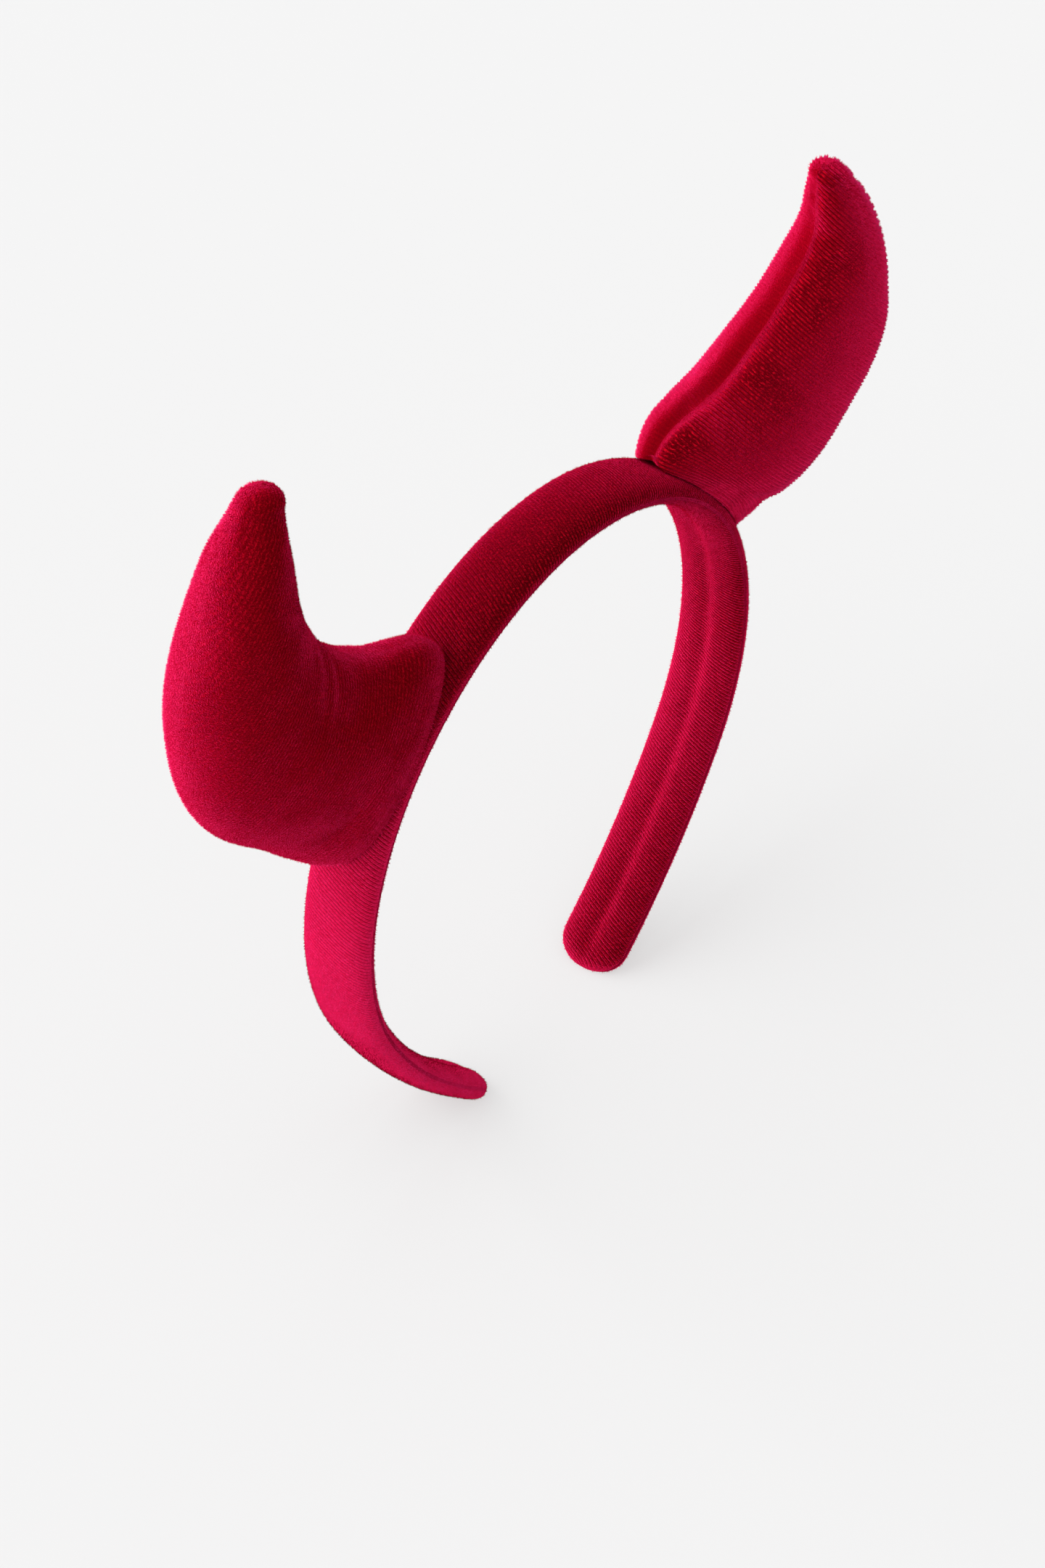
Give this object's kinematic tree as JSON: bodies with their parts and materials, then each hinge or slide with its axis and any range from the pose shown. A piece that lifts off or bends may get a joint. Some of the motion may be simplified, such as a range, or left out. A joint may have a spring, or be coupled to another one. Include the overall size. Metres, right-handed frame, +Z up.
{
  "type": "devil horns headband",
  "caption": "Padded velvet costume headband with a stuffed curved horn sewn to each side of its crown, standing on its two ends.",
  "frame": {"origin": "on the surface that the headband stands on, under the middle of the whole part's box", "axes": "+Z up, from the ends of the band to its crown; +X along the band's opening, from the left horn to the right horn; +Y across the band's width, away from the viewer's side of the picture"},
  "size_m": [0.2066, 0.0474, 0.2133],
  "materials": {
    "band_velvet": "crimson stretch velvet with a short pile",
    "horn_velvet": "crimson stretch velvet with a short, crushed pile over fine knit ribs"
  },
  "bodies": {
    "root": {"headband": "band_velvet", "horn_left": "horn_velvet", "horn_right": "horn_velvet"}
  },
  "joints": []
}
